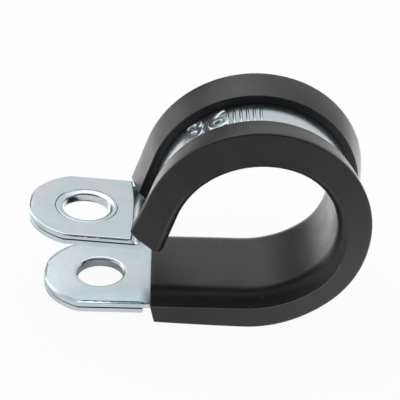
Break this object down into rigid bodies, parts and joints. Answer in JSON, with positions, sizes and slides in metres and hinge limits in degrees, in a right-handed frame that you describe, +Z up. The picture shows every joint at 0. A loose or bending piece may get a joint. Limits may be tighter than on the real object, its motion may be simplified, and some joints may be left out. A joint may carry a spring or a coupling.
{
  "type": "p clip",
  "caption": "Rubber-lined steel loop clip with two folded bolt ears, standing open; holds a pipe, hose or cable run against a panel.",
  "frame": {"origin": "on the axis of the liner's bore, at mid width", "axes": "+Y along the pipe, +X from the ears to the closed side of the loop, +Z up from the lower ear to the upper one"},
  "size_m": [0.0464, 0.0166, 0.0304],
  "materials": {
    "zinc_plated_steel": "bright zinc plate, smooth",
    "epdm_rubber": "extruded black rubber, satin"
  },
  "bodies": {
    "root": {"steel_strap": "zinc_plated_steel", "rubber_liner": "epdm_rubber"}
  },
  "joints": []
}
